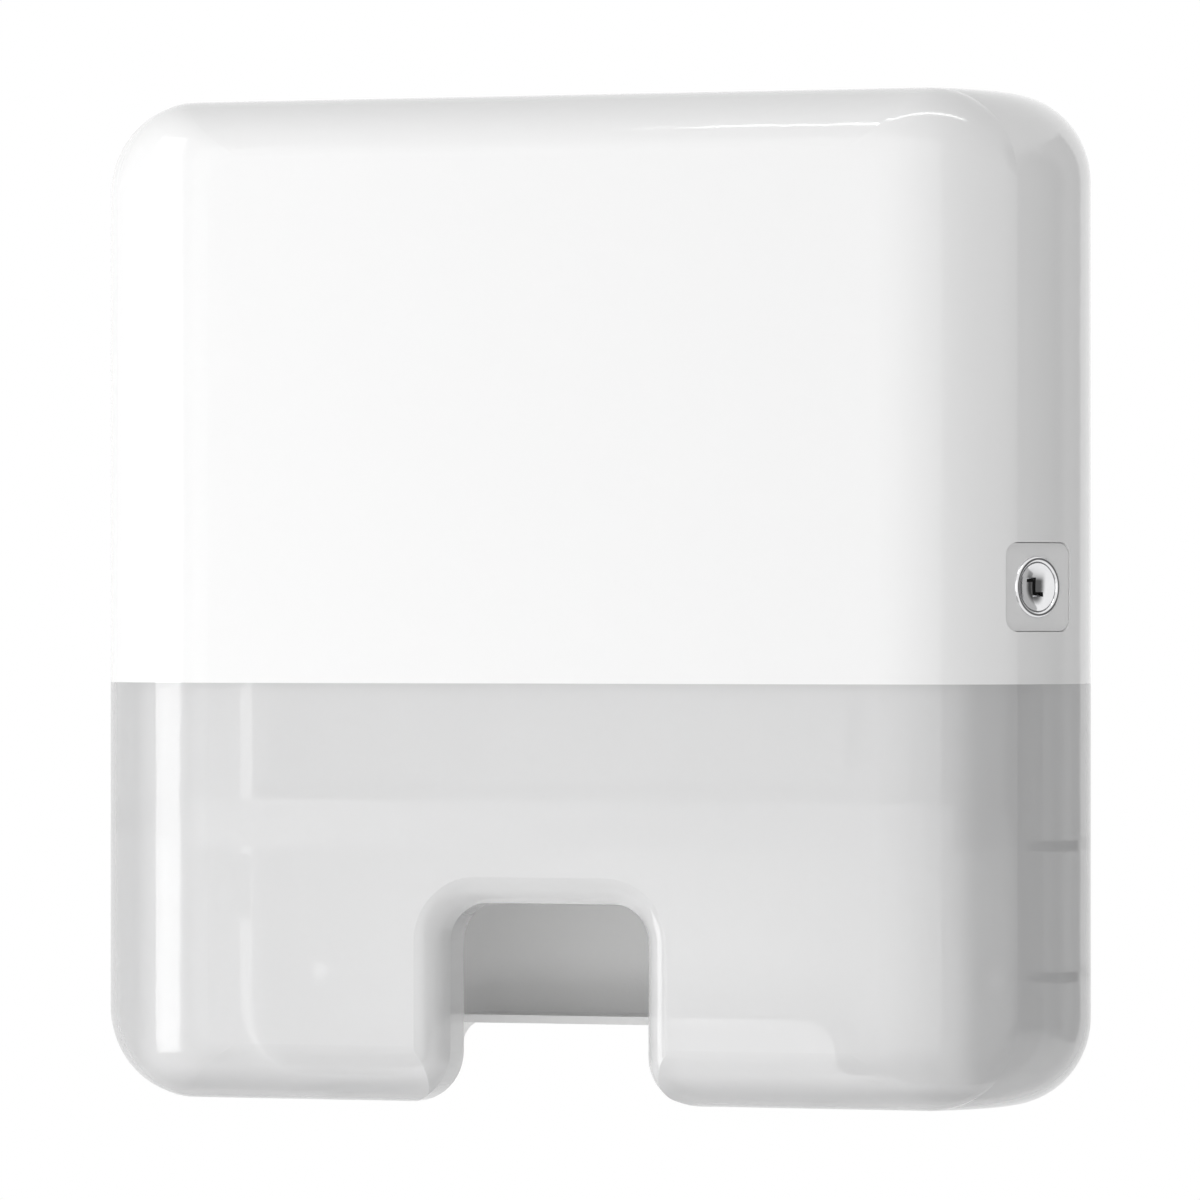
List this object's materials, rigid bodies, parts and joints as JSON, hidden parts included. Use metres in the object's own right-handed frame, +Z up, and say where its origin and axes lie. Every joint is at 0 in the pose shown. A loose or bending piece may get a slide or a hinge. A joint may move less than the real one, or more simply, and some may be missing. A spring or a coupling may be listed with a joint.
{
  "type": "multifold towel dispenser",
  "caption": "Slim wall-hung folded towel dispenser with a side-hinged white and smoky-clear cover, a hand notch and a key lock.",
  "frame": {"origin": "middle of the back face, at the centre of the four wall screw holes", "axes": "+Y into the wall, the front looks along -Y, +X to the viewer's right, +Z up"},
  "size_m": [0.302, 0.101, 0.295],
  "materials": {
    "white_gloss": "glossy moulded",
    "smoky_clear": "glossy translucent",
    "housing_white": "fine satin",
    "tray_grey": "fine satin",
    "steel": "zinc plated",
    "chrome": "polished",
    "lock_zinc": "die-cast"
  },
  "bodies": {
    "housing": {"back_housing": "housing_white", "towel_tray": "tray_grey", "left_stack_guide": "tray_grey", "right_stack_guide": "tray_grey", "upper_hinge_pin": "steel", "lower_hinge_pin": "steel", "lock_keeper": "steel", "tray_screws": "steel", "keeper_screws": "steel"},
    "cover": {"upper_cover": "white_gloss", "lower_cover": "smoky_clear", "upper_hinge_arm": "housing_white", "lower_hinge_arm": "housing_white", "lock_plate": "white_gloss", "lock_ring": "chrome", "lock_barrel": "lock_zinc", "lock_nut": "steel"},
    "lock_cylinder": {"lock_rotor": "chrome", "lock_cam": "steel", "cam_screw": "steel"}
  },
  "joints": [
    {"name": "cover_hinge", "type": "hinge", "parent": "housing", "child": "cover", "pos_m": [-0.13042, -0.012, 0], "axis": [0, 0, -1], "range_deg": [0, 75]},
    {"name": "lock_turn", "type": "hinge", "parent": "cover", "child": "lock_cylinder", "pos_m": [0.104, -0.054, 0.0035], "axis": [-0.8788, 0.4772, 0], "range_deg": [0, 90]}
  ]
}
